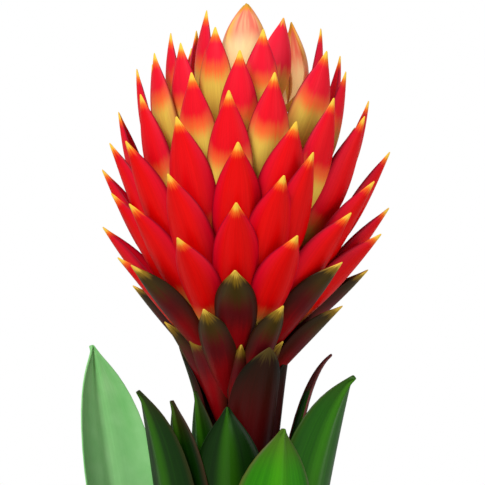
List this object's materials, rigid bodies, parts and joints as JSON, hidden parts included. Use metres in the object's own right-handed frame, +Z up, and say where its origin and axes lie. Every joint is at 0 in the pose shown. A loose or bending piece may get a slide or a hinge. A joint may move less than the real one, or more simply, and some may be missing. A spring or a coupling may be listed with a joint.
{
  "type": "potted bromeliad",
  "caption": "Bromeliad with a cone-shaped red flower head of overlapping yellow-tipped bracts over strap leaves, in a plain tapered clay pot.",
  "frame": {"origin": "centre of the pot's underside, where it stands", "axes": "+Z up along the pot's axis; -Y is the front of the plant"},
  "size_m": [0.4635, 0.4114, 0.6004],
  "materials": {
    "pot": "unglazed terracotta, matt",
    "soil": "damp bark and peat mix",
    "stem": "smooth green stalk",
    "leaf": "glossy living leaf with fine long veins",
    "dark_bract": "glossy brown-green and maroon bract with a yellow tip",
    "red_bract": "satin red bract, ochre at its foot and yellow at its tip",
    "bud": "satin pale orange bud"
  },
  "bodies": {
    "root": {"pot": "pot", "soil": "soil", "stem": "stem", "leaf_01": "leaf", "leaf_02": "leaf", "leaf_03": "leaf", "leaf_04": "leaf", "leaf_05": "leaf", "leaf_06": "leaf", "leaf_07": "leaf", "leaf_08": "leaf", "leaf_09": "leaf", "leaf_10": "leaf", "leaf_11": "leaf", "leaf_12": "leaf", "leaf_13": "leaf", "leaf_14": "leaf", "leaf_15": "leaf", "leaf_16": "leaf", "leaf_17": "leaf", "leaf_18": "leaf", "leaf_19": "leaf", "leaf_20": "leaf", "leaf_21": "leaf", "leaf_22": "leaf", "leaf_23": "leaf", "leaf_24": "leaf", "stem_bract_1": "dark_bract", "stem_bract_2": "dark_bract", "stem_bract_3": "dark_bract", "stem_bract_4": "dark_bract", "stem_bract_5": "dark_bract", "lower_bract_01": "dark_bract", "lower_bract_02": "dark_bract", "lower_bract_03": "dark_bract", "lower_bract_04": "dark_bract", "lower_bract_05": "dark_bract", "lower_bract_06": "dark_bract", "lower_bract_07": "dark_bract", "lower_bract_08": "dark_bract", "lower_bract_09": "dark_bract", "lower_bract_10": "dark_bract", "lower_bract_11": "dark_bract", "lower_bract_12": "dark_bract", "lower_bract_13": "dark_bract", "lower_bract_14": "dark_bract", "lower_bract_15": "dark_bract", "lower_bract_16": "dark_bract", "lower_bract_17": "dark_bract", "lower_bract_18": "dark_bract", "lower_bract_19": "dark_bract", "lower_bract_20": "dark_bract", "bract_tier_1": "red_bract", "bract_tier_2": "red_bract", "bract_tier_3": "red_bract", "bract_tier_4": "red_bract", "bract_tier_5": "red_bract", "apex_bud": "bud"}
  },
  "joints": []
}
